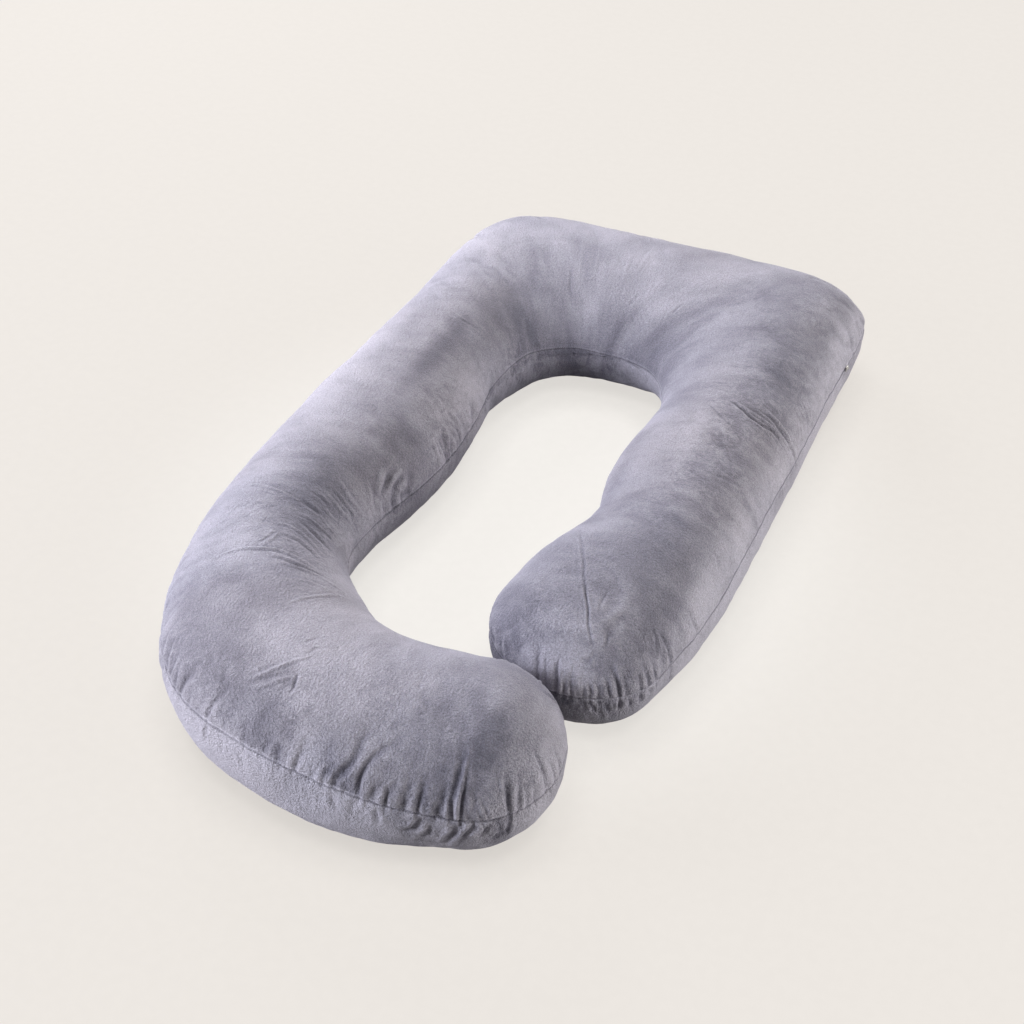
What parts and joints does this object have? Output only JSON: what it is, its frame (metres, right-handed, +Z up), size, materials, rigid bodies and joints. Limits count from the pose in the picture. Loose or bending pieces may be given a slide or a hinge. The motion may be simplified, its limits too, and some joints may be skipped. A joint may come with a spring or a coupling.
{
  "type": "g-shaped body pillow",
  "caption": "Full-length body pillow: one filled velvet tube bent into a G, with a sewn side seam and a small zip slider.",
  "frame": {"origin": "middle of the footprint, on the surface that the pillow lies on", "axes": "+Z up, +Y towards the head bar, +X towards the right arm"},
  "size_m": [0.7996, 1.4298, 0.2141],
  "materials": {
    "velvet": "short crystal velvet pile, grey with a violet sheen",
    "nickel": "bright nickel plate"
  },
  "bodies": {
    "root": {"pillow": "velvet", "zip_slider": "nickel", "zip_pull": "nickel"}
  },
  "joints": []
}
